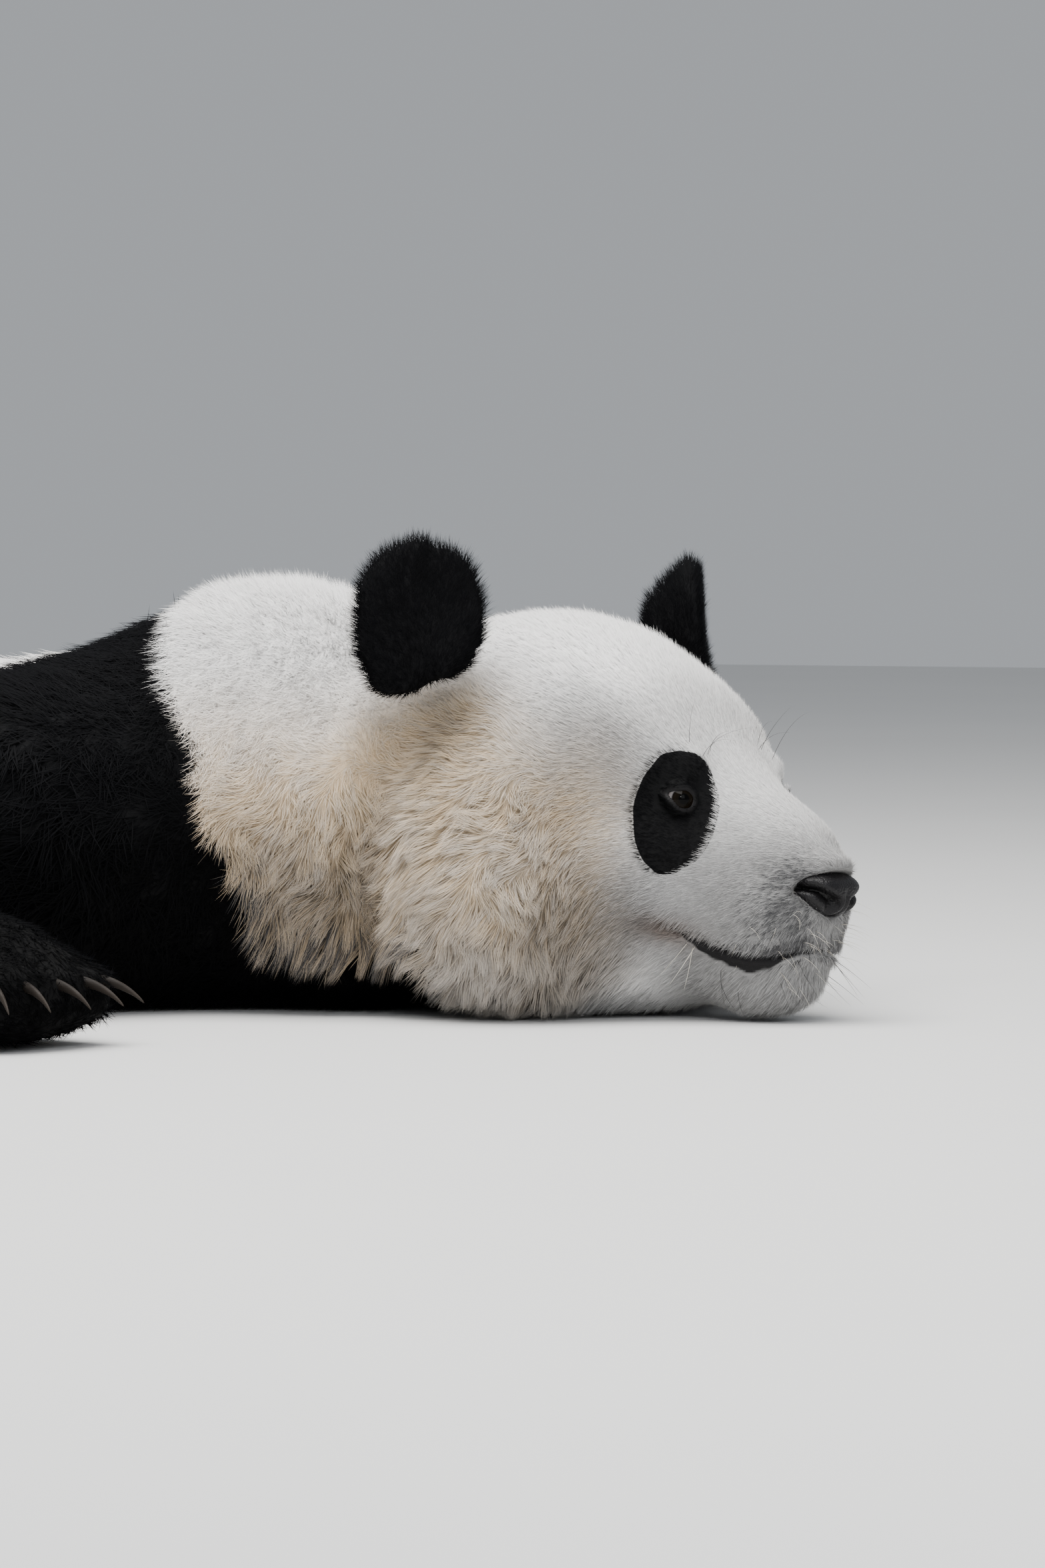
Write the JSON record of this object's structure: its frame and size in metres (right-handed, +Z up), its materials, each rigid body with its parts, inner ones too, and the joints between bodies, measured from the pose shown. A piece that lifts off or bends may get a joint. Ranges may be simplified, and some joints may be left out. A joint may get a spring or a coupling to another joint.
{
  "type": "giant panda",
  "caption": "Life-size still model of a giant panda lying on its belly with its chin on the floor, for a museum floor or diorama.",
  "frame": {"origin": "on the floor, under the middle of the whole outline", "axes": "+X towards the head, +Y to the animal's left, +Z up"},
  "size_m": [1.452, 1.0602, 0.3319],
  "materials": {
    "white_fur": "dense woolly coat, matt",
    "black_fur": "dense coat, matt with a faint cool sheen",
    "nose_leather": "moist pebbled bare skin",
    "eye": "wet and clear",
    "claw": "worn horn, satin"
  },
  "bodies": {
    "root": {"head": "white_fur", "face": "white_fur", "lower_jaw": "white_fur", "neck": "white_fur", "trunk": "white_fur", "rump": "white_fur", "tail": "white_fur", "shoulders": "black_fur", "nose": "nose_leather", "eye_left": "eye", "ear_left": "black_fur", "upper_arm_left": "black_fur", "forearm_left": "black_fur", "front_paw_left": "black_fur", "thigh_left": "black_fur", "shin_left": "black_fur", "hind_paw_left": "black_fur", "front_claw_left_1": "claw", "hind_claw_left_1": "claw", "front_claw_left_2": "claw", "hind_claw_left_2": "claw", "front_claw_left_3": "claw", "hind_claw_left_3": "claw", "front_claw_left_4": "claw", "hind_claw_left_4": "claw", "front_claw_left_5": "claw", "hind_claw_left_5": "claw", "eye_right": "eye", "ear_right": "black_fur", "upper_arm_right": "black_fur", "forearm_right": "black_fur", "front_paw_right": "black_fur", "thigh_right": "black_fur", "shin_right": "black_fur", "hind_paw_right": "black_fur", "front_claw_right_1": "claw", "hind_claw_right_1": "claw", "front_claw_right_2": "claw", "hind_claw_right_2": "claw", "front_claw_right_3": "claw", "hind_claw_right_3": "claw", "front_claw_right_4": "claw", "hind_claw_right_4": "claw", "front_claw_right_5": "claw", "hind_claw_right_5": "claw"}
  },
  "joints": []
}
